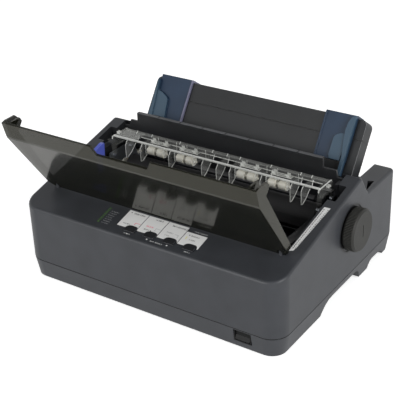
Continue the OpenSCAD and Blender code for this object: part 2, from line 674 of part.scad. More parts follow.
// ---------- platen ----------
platen_half = frame_x - 13;
sleeve_bore = platen_r - 3.5;
module platen_rubber() {
  color("#1d1d1f") difference() {
    rod_x(platen_c, platen_r, -platen_half, platen_half);
    rod_x(platen_c, sleeve_bore, -platen_half - 1, platen_half + 1);
  }
}
module platen_core() {
  color("#b4b6b8") difference() {
    rod_x(platen_c, sleeve_bore, -platen_half, platen_half);
    rod_x(platen_c, shaft_r, -platen_half - 1, platen_half + 1);
  }
}
module platen_shaft() {
  color("#c3c6c9") rod_x(platen_c, shaft_r, gear_x0 - 0.4, hw + 10);
}
module platen_gear() {
  color("#e4e2d6") gear(platen_c, n_platen, ph_platen, shaft_r);
}
flutes = 90;            // grooves round the knob's grip
module platen_knob() {
  r = knob_diameter / 2;
  color("#474643") translate([0, platen_c[0], platen_c[1]]) difference() {
    union() {
      along_x(hw + 0.4, hw + 11.6)
        polygon([for (k = [0:flutes * 2 - 1]) let (q = k % 2 == 0 ? r : r - 0.6, a = k * 180 / flutes)
          [q * cos(a), q * sin(a)]]);
      translate([hw + 11.5, 0, 0]) rotate([0, 90, 0]) cylinder(r1 = r - 0.3, r2 = r - 2.2, h = 2.5);
      translate([hw - 0.9, 0, 0]) rotate([0, 90, 0]) cylinder(r = r - 1.2, h = 2);
    }
    // back of the knob is hollow, with a hub for the shaft
    translate([hw - 2, 0, 0]) rotate([0, 90, 0]) difference() {
      cylinder(r = r - 3.2, h = 12.4);
      translate([0, 0, -1]) cylinder(r = 7, h = 20);
    }
    rod_x([0, 0], shaft_r, hw - 3, hw + 10);
    // index mark on the face
    box(hw + 13.4, hw + 15, -1.1, 1.1, -7.5, 7.5);
  }
}
// paper feed motor behind the left frame plate, carriage motor in front of the left bracket
module stepper_motors() {
  color("#7d8085") {
    rod_x(motor_c, 17.2, -frame_in, -frame_in + 22);
    rod_x(motor_c, 3.9, -frame_out, -frame_in + 1);
    rod_y(-pulley_x, pulley_z, 16.4, -90, -56);
    rod_y(-pulley_x, pulley_z, 3.9, -56.5, -54.4);
  }
}
motor_shaft_r = 1.5;
module feed_pinion() {
  color("#c9b36a") {
    gear(motor_c, n_pinion, ph_pinion, motor_shaft_r);
    rod_x(motor_c, motor_shaft_r, gear_x0, -frame_out - 0.4);
  }
}
module feed_idler() { color("#e4e2d6") gear(feed_c, n_feed, ph_feed, stub_r + running_clearance); }
module tractor_idler() { color("#e4e2d6") gear(idler_c, n_idler, ph_idler, stub_r + running_clearance); }
module tractor_gear() { color("#e4e2d6") gear(tractor_c, n_tractor, ph_tractor, tractor_shaft_r); }

// ---------- tractors ----------
tractor_shaft_r = 3.5;
tractor_rod_r = 3;
wheel_hub_r = 5;
hinge_pin_r = 1.2;
square_w = 4.8;         // the middle of the tractor shaft is square
module tractor_shaft() {
  color("#c3c6c9") {
    rod_x(tractor_c, tractor_shaft_r, gear_x0 - 0.4, -frame_in + 3);
    rod_x(tractor_c, tractor_shaft_r, frame_in - 3, frame_out + 3);
    along_x(-frame_in + 2, frame_in - 2) translate(tractor_c) square(square_w, center = true);
  }
}
module tractor_rod() { color("#c3c6c9") rod_x(rod_c, tractor_rod_r, -frame_in, frame_in); }
flap_axis = 9.4;        // how far the flap's hinge is from the middle of the unit
flap_z = tractor_c[1] + 11.4;   // and its height
module tractor_body(x, s) {
  color("#2d2e31") difference() {
    union() {
      along_x(x - 7, x + 7) {
        translate(tractor_c) circle(11.4);
        translate(rod_c) polygon([[-4, -8.5], [22, -10.6], [22, 10.6], [2, 10.6], [-6, 6]]);
      }
      // hinge ears for the cover flap
      for (y = [66, 90])
        box(s > 0 ? x + 5.5 : x - 11.4, s > 0 ? x + 11.4 : x - 5.5, y, y + 4, flap_z - 6.4, flap_z + 2.2);
    }
    rod_x(tractor_c, wheel_hub_r + running_clearance, x - 8, x + 8);
    rod_x(rod_c, tractor_rod_r + running_clearance, x - 8, x + 8);
    // slot for the pin wheel
    rod_x(tractor_c, 15, x - 3.4, x + 3.4);
    rod_y(x + s * flap_axis, flap_z, hinge_pin_r + running_clearance, 60, 100);
  }
}
module pin_wheel(x) {
  color("#e9e6da") difference() {
    union() {
      rod_x(tractor_c, 11.2, x - 3, x + 3);
      rod_x(tractor_c, wheel_hub_r, x - 7, x + 7);
      for (k = [0:9]) translate([0, tractor_c[0], tractor_c[1]]) rotate([k * 36, 0, 0]) {
        translate([x, 0, 10.6]) cylinder(r = 1.6, h = 1.8, $fn = 32);
        translate([x, 0, 12.3]) cylinder(r1 = 1.6, r2 = 0.9, h = 1, $fn = 32);
      }
    }
    along_x(x - 8, x + 8) translate(tractor_c) square(square_w + 2 * running_clearance, center = true);
  }
}
module tractor_flap(x, s) {
  color("#35363a") {
    difference() {
      box(s > 0 ? x - 7 : x - flap_axis, s > 0 ? x + flap_axis : x + 7,
          70.3, 100, flap_z + 2.8, flap_z + 4.8);
      box(x - 2.6, x + 2.6, 73, 97, flap_z + 1.6, flap_z + 6.6);
      box(s > 0 ? x + 6.4 : x - 12, s > 0 ? x + 12 : x - 6.4, 89.7, 101, flap_z + 1.6, flap_z + 6.6);
    }
    // hinge barrel between the ears, and its pin
    along_y(70.3, 89.7) {
      translate([x + s * flap_axis, flap_z]) circle(1.9);
      translate([x + s * flap_axis - 1.5, flap_z]) square([3, 4]);
    }
    rod_y(x + s * flap_axis, flap_z, hinge_pin_r, 66.3, 93.7);
  }
}
tractor_left_x = 28 - frame_x;
tractor_right_x = frame_x - 34;
module tractor_left() { tractor_body(tractor_left_x, -1); }
module tractor_right() { tractor_body(tractor_right_x, 1); }
module pin_wheel_left() { pin_wheel(tractor_left_x); }
module pin_wheel_right() { pin_wheel(tractor_right_x); }
module tractor_flap_left() { tractor_flap(tractor_left_x, -1); }
module tractor_flap_right() { tractor_flap(tractor_right_x, 1); }

// ---------- tension unit ----------
unit_half = frame_x - 2;
unit_top = 134.6;       // top of its clear plate
plate_t = 1.2;
roller_c = [6.4, 126.6];
roller_pin_r = 1.5;
// Stations along the unit, measured on the normal half width of 144
function stations(xs) = [for (x = xs) x * unit_half / 144];
roller_x = stations([-79.5, -37, 48, 89.5]);        // middles of the four roller sets
cheek_x = 13.6;         // the cheeks of a set are this far from its middle
blade_x = stations([-122.9, -100.3, -58.2, -11, 9.5, 27.4, 69, 108, 122]);
module tension_unit() {
  t = blade_thickness;
  color("#c9cbc4", 0.6) {
    // lip along the front, plate along the rear with its bent edge
    box(-unit_half, unit_half, 3.4, 5.8, unit_top + 0.8 - lip_height, unit_top + 0.8);
    box(-unit_half, unit_half, 18, 30, unit_top - plate_t, unit_top);
    box(-unit_half, unit_half, 28.8, 30, 131.4, unit_top);
    both() {
      box(unit_half - 5, unit_half, 4, 29, unit_top - plate_t, unit_top);
      // end plate on two legs, each slotted over a peg of the frame
      along_x(unit_half - 1.6, unit_half) difference() {
        polygon([[1, 135], [30.5, 135], [38.9, 124], [38.9, 106], [peg_y[1] - 4, 106], [peg_y[1] - 4, 121],
                 [peg_y[0] + 4, 121], [peg_y[0] + 4, 106], [-1.5, 106], [-1.5, 126]]);
        for (y = peg_y) {
          translate([y, peg_z]) circle(peg_r + sliding_gap);
          translate([y - peg_r - sliding_gap, 100]) square([2 * (peg_r + sliding_gap), peg_z - 100]);
        }
      }
      // squeeze tabs
      box(unit_half - 1, unit_half + 5, -1.4, 1.6, 127, 131);
      box(unit_half - 1, unit_half + 4.5, 16, 19.6, 131.4, 134.8);
    }
    // closed plate at the left end
    box(-unit_half, 32 - unit_half, 4, 29, unit_top - plate_t, unit_top);
    // blades that steer the paper, each running up into a small fin behind the lip
    for (x = blade_x) along_x(x - t / 2, x + t / 2)
      polygon([[5, 134.2], [-0.5, 128], [0.2, 111.3], [3.5, 110.8], [11, 114.6], [20.3, 122.6], [25, 124],
               [29.4, 131.6], [29.4, 134], [26, 137.2], [22.6, 134]]);
    // roller holders: two cheeks, a bridge and two upright clips each
    for (x = roller_x) {
      for (s = [-1, 1]) difference() {
        box(x + s * cheek_x - t / 2, x + s * cheek_x + t / 2, 1.5, 28, 123.4, 134);
        rod_x(roller_c, roller_pin_r + running_clearance, x + s * cheek_x - 2, x + s * cheek_x + 2);
      }
      box(x - cheek_x, x + cheek_x, 11.8, 15, unit_top - plate_t, unit_top);
      for (s = [-1, 1]) along_x(x + s * 9 - 2.2, x + s * 9 + 2.2)
        polygon([[11.8, 134], [15, 134], [14, 139.6], [10, 138.4], [9.6, 136.6], [11.8, 137]]);
    }
  }
}
module roller_set(x) {
  r = roller_diameter / 2;
  color("#d8d6cc") {
    for (s = [-1, 1]) rod_x(roller_c, r, x + s * 6.8 - 4.6, x + s * 6.8 + 4.6);
    rod_x(roller_c, 2.6, x - cheek_x + 1, x + cheek_x - 1);
    rod_x(roller_c, roller_pin_r, x - cheek_x - 1.3, x + cheek_x + 1.3);
  }
}
module rollers_one() { roller_set(roller_x[0]); }
module rollers_two() { roller_set(roller_x[1]); }
module rollers_three() { roller_set(roller_x[2]); }
module rollers_four() { roller_set(roller_x[3]); }

// ---------- carriage, head, belt ----------
head_x = 50 - frame_x;  // the carriage rests at the left
pulley_x = frame_x - 18;
pulley_z = 44;
pulley_r = 8;
module carriage_shaft() { color("#c3c6c9") rod_x(rail_c, rail_r, -frame_in, frame_in); }
module front_rail() { color("#a7aaad") box(-frame_in, frame_in, -70, -62, 64, 65.6); }
module carriage() {
  g = sliding_gap;
  color("#303236") difference() {
    union() {
      box(head_x - 24, head_x + 24, -44, -14, 57, 71);
      box(head_x - 16, head_x + 16, -72, -43, 62, 71);
      box(head_x - 8, head_x + 8, -52, -42, 50, 63);
    }
    rod_x(rail_c, rail_r + running_clearance, head_x - 25, head_x + 25);
    // fork over the front rail
    box(head_x - 17, head_x + 17, -70 - g, -62 + 30, 64 - g, 65.6 + g);
    // slot for the belt
    box(head_x - 9, head_x + 9, -51 - g, -45 + g, pulley_z + pulley_r - g, pulley_z + pulley_r + belt_t + g);
  }
}
module print_head() {
  color("#5c5f64") {
    box(head_x - 14, head_x + 14, -36, -12, 71, 93);
    for (i = [0:6]) box(head_x - 20, head_x + 20, -40 + i * 4, -38.4 + i * 4, 93, 102);
    box(head_x - 20, head_x + 20, -40, -12, 91, 94);
    along_x(head_x - 6, head_x + 6)
      polygon([[-12.5, 76], [-2, 80], [3.7, 82.4], [3.7, 89.2], [-2, 91.5], [-12.5, 93]]);
  }
}
module pulley(x, bore) {
  difference() {
    union() {
      rod_y(x, pulley_z, pulley_r - 0.1, -51.2, -44.8);
      rod_y(x, pulley_z, pulley_r + 1.6, -52, -51.15);
    }
    rod_y(x, pulley_z, bore, -60, -40);
  }
}
module drive_pulley() {
  color("#c9b36a") {
    pulley(-pulley_x, motor_shaft_r);
    rod_y(-pulley_x, pulley_z, motor_shaft_r, -54, -44.8);
  }
}
module idler_pulley() { color("#c9cbd0") pulley(pulley_x, stub_r + running_clearance); }
module timing_belt() {
  color("#191a1b") along_y(-51, -45) difference() {
    belt_loop(pulley_r + belt_t);
    belt_loop(pulley_r);
  }
}
belt_t = 1.2;
module belt_loop(r) {
  for (s = [-1, 1]) translate([s * pulley_x, pulley_z]) circle(r);
  translate([-pulley_x, pulley_z - r]) square([2 * pulley_x, 2 * r]);
}

// ---------- ribbon ----------
cartridge_half = frame_in - 3.2;
cartridge_z = 84;       // underside of the cartridge, on the frame's two tabs
arm_width = 10.5;
knob_c = [30 - cartridge_half, -67];
knob_hub_r = 4;
module ribbon_cartridge() {
  c = cartridge_half; z = cartridge_z;
  color("#1c1d20") difference() {
    union() {
      box(-c, c, -84, -50, z, z + 13);
      both() along_x(c - arm_width, c) translate([0, z])
        polygon([[-52, 0], [-8, -4], [2, -4], [5.4, -1], [5.4, 7], [2, 11], [-52, 12.8]]);
    }
    // hollow for the ribbon, open to the arms
    box(-c + 8, c - 8, -80, -54, z + 2, z + 11);
    both() box(c - 8.5, c - 2, -60, 2, z, z + 9);
    translate([knob_c[0], knob_c[1], z + 6]) cylinder(r = knob_hub_r + running_clearance, h = 20);
  }
}
module ribbon() {
  w = cartridge_half - arm_width;
  color("#0c0c0d") box(-w, w, 4.1, 4.35, 80.5, 93);
}
module ribbon_knob() {
  color("#2e4f8f") translate([knob_c[0], knob_c[1], cartridge_z + 13.3]) {
    cylinder(r = 8, h = 6);
    translate([0, 0, -2.1]) cylinder(r = knob_hub_r, h = 3);
    translate([-9, -1, 5]) cube([18, 2, 3]);
  }
}

// ---------- levers ----------
thick_c = [-24, 73];
release_c = [37, 95];
module thickness_lever() {
  color("#4a46b8") {
    difference() {
      along_x(-frame_out - 1.7, -frame_out - 0.2) {
        translate(thick_c) circle(6);
        polygon([[thick_c[0] - 4, 73], [thick_c[0] + 4, 73], [-16, 116], [-27, 116]]);
      }
      rod_x(thick_c, lever_pin_r + running_clearance, -frame_out - 3, -frame_out + 1);
    }
    along_x(-frame_out - 3.4, -frame_out + 1.4)
      polygon([[-30, 114], [-14, 114], [-13, 131], [-17, 131.5], [-31, 127]]);
  }
}
module release_lever() {
  color("#26272a") {
    difference() {
      along_x(frame_out + 0.2, frame_out + 1.9) {
        translate(release_c) circle(6);
        polygon([[release_c[0] - 4, 95], [release_c[0] + 3, 95], [35, 121], [27, 121]]);
      }
      rod_x(release_c, lever_pin_r + running_clearance, frame_out - 1, frame_out + 3);
    }
    box(frame_out + 0.2, frame_out + 6.8, 27, 35, 117.5, 121);
    along_x(frame_out + 3, frame_out + 6.8) polygon([[27, 117.5], [35, 117.5], [36, 133], [26, 133]]);
  }
}

// ---------- electronics ----------
module main_board() {
  color("#2f6b3a") {
    box(board_x0, board_x1, board_y0, board_y1, board_z, board_top);
    translate([board_x0, 0, board_top - 0.2]) {
      box(38, 66, 20, 48, 0, 2.6);
      box(98, 118, -20, 0, 0, 2.2);
      for (i = [0:3]) box(78 + i * 16, 88 + i * 16, 40, 66, 0, 3.2);
      for (i = [0:2]) translate([18 + i * 14, -30, 0]) cylinder(r = 5, h = 12, $fn = 48);
    }
  }
}
module interface_ports() {
  color("#b9bcc0") for (p = ports) {
    box(p[0] - p[1] / 2, p[0] + p[1] / 2, board_y1 - 14, yr - 1.6, board_top, board_top + p[2]);
  }
}
module power_supply() {
  color("#3d6a3a") {
    box(supply_x0, supply_x1, 54, board_y1 - 2, board_z, board_top);
    translate([supply_x0, 0, board_top - 0.2]) {
      box(3, 29, 70, 100, 0, 13.6);
      box(33, 36, 60, board_y1 - 14, 0, 14.2);
      for (y = [66, 84, 102]) translate([45, y, 0]) cylinder(r = 7, h = 14.2, $fn = 48);
    }
  }
}
module power_inlet() {
  color("#18191b") {
    difference() {
      union() {
        box(inlet_x - inlet_half, inlet_x + inlet_half, yr - 20, yr + 0.4, inlet_z - 10.3, inlet_z + 10.3);
        box(inlet_x - inlet_half - 3.2, inlet_x + inlet_half + 3.2, yr, yr + 1.6,
            inlet_z - 12.5, inlet_z + 12.5);
      }
      box(inlet_x - 11, inlet_x + 11, yr - 15, yr + 3, inlet_z - 7.5, inlet_z + 7.5);
    }
    // three blades, the middle one higher
    for (s = [-1, 0, 1]) translate([inlet_x + s * 7, 0, inlet_z + (s == 0 ? 3 : -2)])
      box(-1, 1, yr - 16, yr - 3, -2, 2);
  }
}

// ---------- assembly ----------
lower_case();
upper_case();
rubber_feet();
case_screws();
panel_cards();
indicator_lights();
control_board();
switch_housing();
power_rocker();
button_one();
button_two();
button_three();
button_four();
printer_cover();
sheet_guide();
edge_guide_left();
edge_guide_right();
paper_divider();
paper_pan();
mechanism_frame();
platen_bearings();
platen_rubber();
platen_core();
platen_shaft();
platen_gear();
platen_knob();
stepper_motors();
feed_pinion();
feed_idler();
tractor_idler();
tractor_gear();
tractor_shaft();
tractor_rod();
tractor_left();
tractor_right();
pin_wheel_left();
pin_wheel_right();
tractor_flap_left();
tractor_flap_right();
tension_unit();
rollers_one();
rollers_two();
rollers_three();
rollers_four();
carriage_shaft();
front_rail();
carriage();
print_head();
drive_pulley();
idler_pulley();
timing_belt();
ribbon_cartridge();
ribbon();
ribbon_knob();
thickness_lever();
release_lever();
main_board();
power_supply();
power_inlet();
interface_ports();
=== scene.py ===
import math
import random
import bpy
import bmesh
from mathutils import Matrix, Vector


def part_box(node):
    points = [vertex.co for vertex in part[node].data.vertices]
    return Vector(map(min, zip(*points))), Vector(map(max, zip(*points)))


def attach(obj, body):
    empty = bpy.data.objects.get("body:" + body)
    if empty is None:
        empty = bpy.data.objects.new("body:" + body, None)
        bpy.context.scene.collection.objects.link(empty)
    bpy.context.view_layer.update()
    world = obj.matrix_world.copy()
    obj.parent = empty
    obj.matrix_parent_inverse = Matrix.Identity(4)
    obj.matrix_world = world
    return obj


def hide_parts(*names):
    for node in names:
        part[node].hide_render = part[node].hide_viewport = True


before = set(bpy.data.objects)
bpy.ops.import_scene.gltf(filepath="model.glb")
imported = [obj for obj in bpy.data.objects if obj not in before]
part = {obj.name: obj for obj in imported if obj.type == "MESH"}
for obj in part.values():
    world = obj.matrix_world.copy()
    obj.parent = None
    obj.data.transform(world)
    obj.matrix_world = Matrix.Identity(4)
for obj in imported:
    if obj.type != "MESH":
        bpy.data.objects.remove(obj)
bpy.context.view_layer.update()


# ---- Lower and upper case ----
# Two ABS mouldings that meet at a groove above the feet. The mould is spark eroded, which leaves
# a fine matt grain on every outer face; the edges are a little smoother where hands rub them.
half_width, half_depth, front_height = 0.174, 0.1375, 0.096
knob_y, knob_z = 0.023, 0.0858


def linear(code):
    """A colour as a sample card is written, turned to the amounts of light it stands for."""
    parts = [int(code[i:i + 2], 16) / 255 for i in (1, 3, 5)]
    return (*[c / 12.92 if c <= 0.04045 else ((c + 0.055) / 1.055) ** 2.4 for c in parts], 1.0)


def add(tree, kind, sockets=None, **settings):
    """Adds a shader node with its settings, and sets or links its sockets."""
    node = tree.nodes.new("ShaderNode" + kind)
    for name, value in settings.items():
        setattr(node, name, value)
    for name, value in (sockets or {}).items():
        if isinstance(value, bpy.types.NodeSocket):
            tree.links.new(value, node.inputs[name])
        else:
            node.inputs[name].default_value = value
    return node


def material(name):
    made = bpy.data.materials.new(name)
    made.use_nodes = True
    made.node_tree.nodes.clear()
    return made, made.node_tree


def close(tree, **sockets):
    """Ends a material in one principled shader."""
    shader = add(tree, "BsdfPrincipled", {k.replace("_", " "): v for k, v in sockets.items()})
    add(tree, "OutputMaterial", {"Surface": shader.outputs[0]})


def coat(made, *names):
    """Puts a finish on CAD pieces."""
    for name in names:
        obj = part[name]
        obj.data.materials.clear()
        obj.data.materials.append(made)


def placed(name, data):
    """Makes an object of a mesh, a lamp or a camera, and puts it in the scene."""
    obj = bpy.data.objects.new(name, data)
    bpy.context.scene.collection.objects.link(obj)
    return obj


def within(tree, place, along, at_mm, half_mm):
    """1 within half_mm of the plane that is square to a direction, at_mm from the origin, and 0 elsewhere."""
    reach = add(tree, "VectorMath", {0: place, 1: along}, operation="DOT_PRODUCT").outputs["Value"]
    return add(tree, "Math", {0: reach, 1: at_mm / 1000, 2: half_mm / 1000}, operation="COMPARE").outputs[0]


def softened_edge(tree, edge_mm):
    """The surface's direction with its edges eased, and a mask that rises to 1 on those edges."""
    soft = add(tree, "Bevel", {"Radius": edge_mm / 1000}, samples=4).outputs[0]
    flat = add(tree, "NewGeometry").outputs["Normal"]
    facing = add(tree, "VectorMath", {0: soft, 1: flat}, operation="DOT_PRODUCT").outputs["Value"]
    return soft, add(tree, "MapRange", {"Value": facing, "From Min": 1.0, "From Max": 0.86}).outputs[0]


def mixed(tree, amount, first, second):
    """Two colours, given as hex or as sockets, mixed by a mask."""
    first, second = (linear(end) if isinstance(end, str) else end for end in (first, second))
    return add(tree, "Mix", {"Factor": amount, "A": first, "B": second}, data_type="RGBA").outputs["Result"]


def shaded(tree, tone, where, amount):
    """Multiplies a colour by an amount in the places where a mask is 1."""
    gain = add(tree, "Mix", {"Factor": where, "A": 1.0, "B": amount}, data_type="FLOAT").outputs["Result"]
    return add(tree, "VectorMath", {0: tone, "Scale": gain}, operation="SCALE").outputs[0]


def moulded(name, body, edge_tone, grain_mm, depth_mm, roughness, edge_mm=0.5, specular=0.5, mottle=0.12,
            groove=None, tint=None):
    """A thermoplastic from a grained mould: a body colour with a slight mottle, and edges worn smoother in a
    colour of their own, on some pieces a painted highlight. A groove is a plane darkened with painted shade;
    tint is a function that changes the colour of some places."""
    made, tree = material(name)
    place = add(tree, "TexCoord").outputs["Object"]
    soft, edge = softened_edge(tree, edge_mm)
    mottle_mm, groove_shade = 28.57, 0.25
    cloud = add(tree, "TexNoise", {"Vector": place, "Scale": 1000 / mottle_mm, "Detail": 4.0}).outputs["Fac"]
    shade = add(tree, "MapRange", {"Value": cloud, "From Min": 0.3, "From Max": 0.7,
                                   "To Min": 1 - mottle, "To Max": 1 + mottle}).outputs[0]
    # the edge colour is a painted highlight on several pieces, such as the tray, buttons and divider
    tone = mixed(tree, edge, body, edge_tone)
    tone = add(tree, "VectorMath", {0: tone, "Scale": shade}, operation="SCALE").outputs[0]
    if tint:
        tone = tint(tree, place, tone)
    if groove:
        # painted shade in the groove
        tone = shaded(tree, tone, within(tree, place, *groove), groove_shade)
    pits = add(tree, "TexNoise", {"Vector": place, "Scale": 1000 / grain_mm, "Detail": 2.0}).outputs["Fac"]
    grain = add(tree, "Bump", {"Strength": 0.5, "Distance": depth_mm / 1000, "Height": pits,
                               "Normal": soft}).outputs[0]
    gloss = add(tree, "MapRange", {"Value": edge, "To Min": roughness, "To Max": roughness * 0.9}).outputs[0]
    close(tree, Base_Color=tone, Roughness=gloss, Specular_IOR_Level=specular, Normal=grain)
    return made


def from_knob(tree, place):
    """How far a place is from the knob's axis, which runs along X."""
    centred = add(tree, "VectorMath", {0: place, 1: (0, -knob_y, -knob_z)}, operation="ADD").outputs[0]
    centred = add(tree, "VectorMath", {0: centred, 1: (0, 1, 1)}, operation="MULTIPLY").outputs[0]
    return add(tree, "VectorMath", {0: centred}, operation="LENGTH").outputs["Value"]


def knob_seat_shade(tree, place, tone):
    """Painted shade darkens the case close round the knob, in the seat it turns in."""
    seat_edge, shade_end, right_side = 0.0262, 0.0315, 0.17
    near = add(tree, "MapRange", {"Value": from_knob(tree, place), "From Min": seat_edge,
                                  "From Max": shade_end, "To Min": 0.2, "To Max": 1.0},
               interpolation_type="SMOOTHSTEP").outputs[0]
    out = add(tree, "SeparateXYZ", {"Vector": place}).outputs["X"]
    side = add(tree, "Math", {0: out, 1: right_side}, operation="GREATER_THAN").outputs[0]
    return shaded(tree, tone, side, near)


# real grain is about 0.3 mm; 0.9 mm is the finest that shows from here
# the groove at the parting line and the seat round the knob are darkened with painted shade
case_abs = moulded("case_abs", "#313337", "#2c2e32", 0.9, 0.08, 0.42, edge_mm=0.8, specular=0.38,
                   groove=((0, 0, 1), 26.4, 0.6), tint=knob_seat_shade)
coat(case_abs, "lower_case")


def off_outline(x, y):
    """How far a point is inside the case's outline, seen from above."""
    radius = 0.0216 if y < 0 else 0.010
    across, along = abs(x) - half_width + radius, abs(y) - half_depth + radius
    if across > 0 and along > 0:
        return radius - math.hypot(across, along)
    return min(half_width - abs(x), half_depth - abs(y))


def eased(name, radius_mm, chosen):
    """A copy of a CAD moulding with its chosen sharp edges rounded, as the mould has them."""
    flat_turn, sharp_turn, smooth_turn = math.radians(0.5), 0.4, math.radians(28)
    mesh = part[name].data.copy()
    form = bmesh.new()
    form.from_mesh(mesh)
    bmesh.ops.remove_doubles(form, verts=form.verts, dist=2e-6)
    bmesh.ops.dissolve_limit(form, angle_limit=flat_turn, verts=form.verts, edges=form.edges)
    picked = [edge for edge in form.edges if len(edge.link_faces) == 2 and edge.is_convex
              and edge.calc_face_angle(0) > sharp_turn and chosen(edge)]
    bmesh.ops.bevel(form, geom=picked, offset=radius_mm / 1000, segments=4, profile=0.5, affect="EDGES",
                    clamp_overlap=True)
    for face in form.faces:
        face.smooth = True
    form.to_mesh(mesh)
    form.free()
    mesh.set_sharp_from_angle(angle=smooth_turn)
    obj = placed(name + "_skin", mesh)
    obj.modifiers.new("flat_faces", "WEIGHTED_NORMAL").keep_sharp = True
    return obj


def top_edge(edge):
    """The edges round the top of the outer walls, but not round the knob's seat."""
    on_outline, walls_from, seat_radius = 0.0005, 0.088, 0.036
    a, b = edge.verts[0].co, edge.verts[1].co
    middle = (a + b) / 2
    outer = all(off_outline(p.x, p.y) < on_outline for p in (a, b))
    seat = middle.x > 0 and math.hypot(middle.y - knob_y, middle.z - knob_z) < seat_radius
    upright = abs((a - b).normalized().z) > 0.9
    return outer and middle.z > walls_from and not seat and not upright


skin = eased("upper_case", 3.2, top_edge)
# the inside of the moulding is left dull, as no polished steel touched it; its darker colour is painted shade
case_inner_shade = moulded("case_inner_shade", "#1d1e20", "#26272a", 0.9, 0.08, 0.6, edge_mm=0.6, specular=0.15)
skin.data.materials.clear()
skin.data.materials.append(case_abs)
skin.data.materials.append(case_inner_shade)
inside, panel_rear, steep = 0.004, -0.095, 0.3
for face in skin.data.polygons:
    upright = abs(face.normal.z) < steep
    if upright and off_outline(face.center.x, face.center.y) > inside and face.center.y > panel_rear:
        face.material_index = 1
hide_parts("upper_case")
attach(skin, "base")


# ---- Rubber feet ----
# Six round pads of moulded rubber, glued under the lower case. They are dull and nearly black, with a
# dusty bloom.
foot_rubber = moulded("foot_rubber", "#131314", "#1d1d1e", 1.5, 0.15, 0.8, edge_mm=0.4)
coat(foot_rubber, "rubber_feet")


# ---- Case screws ----
# Zinc-plated self-tapping screws, driven up from below into the bosses. The plating is slightly blue
# and cloudy. The front rail of the mechanism has the same plating.
def clouded(tree, place, cloud_mm, detail, first, second):
    """A colour that drifts between two, in clouds of the given size."""
    cloud = add(tree, "TexNoise", {"Vector": place, "Scale": 1000 / cloud_mm, "Detail": detail})
    return mixed(tree, cloud.outputs["Fac"], first, second)


def metal(name, colour, dull, grain_mm, stretch, roughness):
    """A bare or plated metal whose rolled or turned grain runs along X when stretch is above 1."""
    cloud_mm, edge_mm, ridge_mm = 16.667, 0.3, 0.05
    made, tree = material(name)
    place = add(tree, "TexCoord").outputs["Object"]
    drawn = add(tree, "Mapping", {"Vector": place, "Scale": (1 / stretch, 1.0, 1.0)}).outputs[0]
    lines = add(tree, "TexNoise", {"Vector": drawn, "Scale": 1000 / grain_mm, "Detail": 3.0}).outputs["Fac"]
    soft = add(tree, "Bevel", {"Radius": edge_mm / 1000}, samples=4).outputs[0]
    ridges = add(tree, "Bump", {"Strength": 0.25, "Distance": ridge_mm / 1000, "Height": lines,
                                "Normal": soft}).outputs[0]
    gloss = add(tree, "MapRange", {"Value": lines, "To Min": roughness * 0.8,
                                   "To Max": roughness * 1.2}).outputs[0]
    close(tree, Base_Color=clouded(tree, place, cloud_mm, 5.0, colour, dull), Metallic=1.0,
          Roughness=gloss, Normal=ridges)
    return made


zinc_plate = metal("zinc_plate", "#b9bcc0", "#8f9398", 0.6, 4.0, 0.38)
coat(zinc_plate, "case_screws", "front_rail")


# ---- Mechanism frame ----
# A tray of zinc-plated steel sheet, bent up at both sides to carry the platen, the shafts and the gears.
# It is screwed to four posts in the lower case. Its rolled grain gives soft grey streaks from side to side.
frame_steel = metal("frame_steel", "#9da1a6", "#7b7f85", 0.8, 6.0, 0.42)
coat(frame_steel, "mechanism_frame")


# ---- Circuit boards and power supply ----
# Glass-epoxy boards under half-gloss green resist, with lighter tracks. The parts soldered on top are
# mostly black.
panel_slope = math.radians(13.2)


def board(name, base_mm, tilt=0.0):
    """A board whose top is base_mm high; what stands above it is black."""
    track_mm, edge_mm = 1.1364, 0.2
    made, tree = material(name)
    place = add(tree, "TexCoord").outputs["Object"]
    turned = add(tree, "VectorRotate", {"Vector": place, "Center": (0, -half_depth, front_height),
                                        "Angle": -tilt}, rotation_type="X_AXIS").outputs[0]
    height = add(tree, "SeparateXYZ", {"Vector": turned}).outputs["Z"]
    above = add(tree, "Math", {0: height, 1: base_mm / 1000}, operation="GREATER_THAN").outputs[0]
    tracks = add(tree, "TexBrick", {"Vector": place, "Scale": 250 / track_mm, "Mortar Size": 0.06,
                                    "Color1": linear("#1c5a31"), "Color2": linear("#1a532d"),
                                    "Mortar": linear("#2f7a48")}).outputs["Color"]
    soft = add(tree, "Bevel", {"Radius": edge_mm / 1000}, samples=4).outputs[0]
    close(tree, Base_Color=mixed(tree, above, tracks, "#17181a"), Roughness=0.4, Normal=soft)
    return made


coat(board("main_board_resist", 10.7), "main_board", "power_supply")
coat(board("panel_board_resist", front_height * 1000 - 12.3, panel_slope), "control_board")


# ---- Paper feed motor and carriage motor ----
# Two stepping motors in drawn steel cans, screwed to the frame. Dull nickel plating gives them a grey,
# half-bright skin without clear reflections.
motor_can = metal("motor_can", "#7c7f84", "#5d6065", 1.2, 1.0, 0.35)
coat(motor_can, "stepper_motors")


# ---- Gears, bearings and pulley ----
# Cream acetal, moulded with polished teeth. It has a waxy half-gloss and lets a little light in.
# The two small drive wheels are turned brass, warm yellow and softly bright.
def acetal(name, colour, depth_colour):
    cloud_mm, edge_mm = 11.111, 0.3
    made, tree = material(name)
    place = add(tree, "TexCoord").outputs["Object"]
    soft = add(tree, "Bevel", {"Radius": edge_mm / 1000}, samples=4).outputs[0]
    close(tree, Base_Color=clouded(tree, place, cloud_mm, 3.0, colour, depth_colour), Roughness=0.32,
          Subsurface_Weight=0.15, Subsurface_Radius=(0.002, 0.0018, 0.0014), Normal=soft)
    return made


cream_acetal = acetal("cream_acetal", "#e9e7dc", "#dcd8c8")
coat(cream_acetal, "platen_gear", "feed_idler", "tractor_idler", "tractor_gear", "platen_bearings",
     "pin_wheel_left", "pin_wheel_right")
brass = metal("turned_brass", "#c8a964", "#a88a4c", 0.5, 1.0, 0.3)
coat(brass, "feed_pinion", "drive_pulley")


